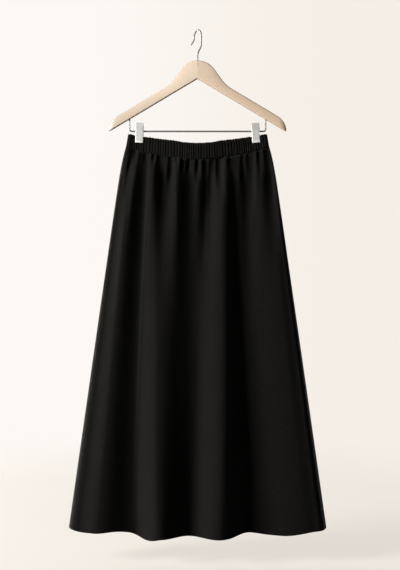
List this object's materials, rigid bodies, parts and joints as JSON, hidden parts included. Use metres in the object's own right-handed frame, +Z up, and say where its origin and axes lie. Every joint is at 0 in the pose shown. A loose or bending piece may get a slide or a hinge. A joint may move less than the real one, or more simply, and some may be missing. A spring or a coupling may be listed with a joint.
{
  "type": "maxi skirt on a clip hanger",
  "caption": "Long A-line skirt gathered into a ruched elastic waistband, held at its band by clips on the wire bar of a wooden hanger with a hook.",
  "frame": {"origin": "top of the inside of the hook, where it rests on its rail", "axes": "+Z up, against the pull of the hanging weight; the front of the skirt faces -Y; +X is to the right seen from the front"},
  "size_m": [0.643, 0.1872, 1.254],
  "materials": {
    "cloth": "matt black woven crepe with a faint soft sheen",
    "hanger_wood": "pale beech under a satin lacquer",
    "hanger_wire": "bright chromed wire",
    "clip_metal": "satin plated sheet metal",
    "clip_pad": "matt pale rubber"
  },
  "bodies": {
    "root": {"skirt_front": "cloth", "skirt_back": "cloth", "waistband_front": "cloth", "waistband_back": "cloth", "hanger_arm_left": "hanger_wood", "hanger_arm_right": "hanger_wood", "hanger_hook": "hanger_wire", "trouser_bar": "hanger_wire", "clip_left_front_jaw": "clip_metal", "clip_left_back_jaw": "clip_metal", "clip_right_front_jaw": "clip_metal", "clip_right_back_jaw": "clip_metal", "clip_left_front_pad": "clip_pad", "clip_left_back_pad": "clip_pad", "clip_right_front_pad": "clip_pad", "clip_right_back_pad": "clip_pad"}
  },
  "joints": []
}
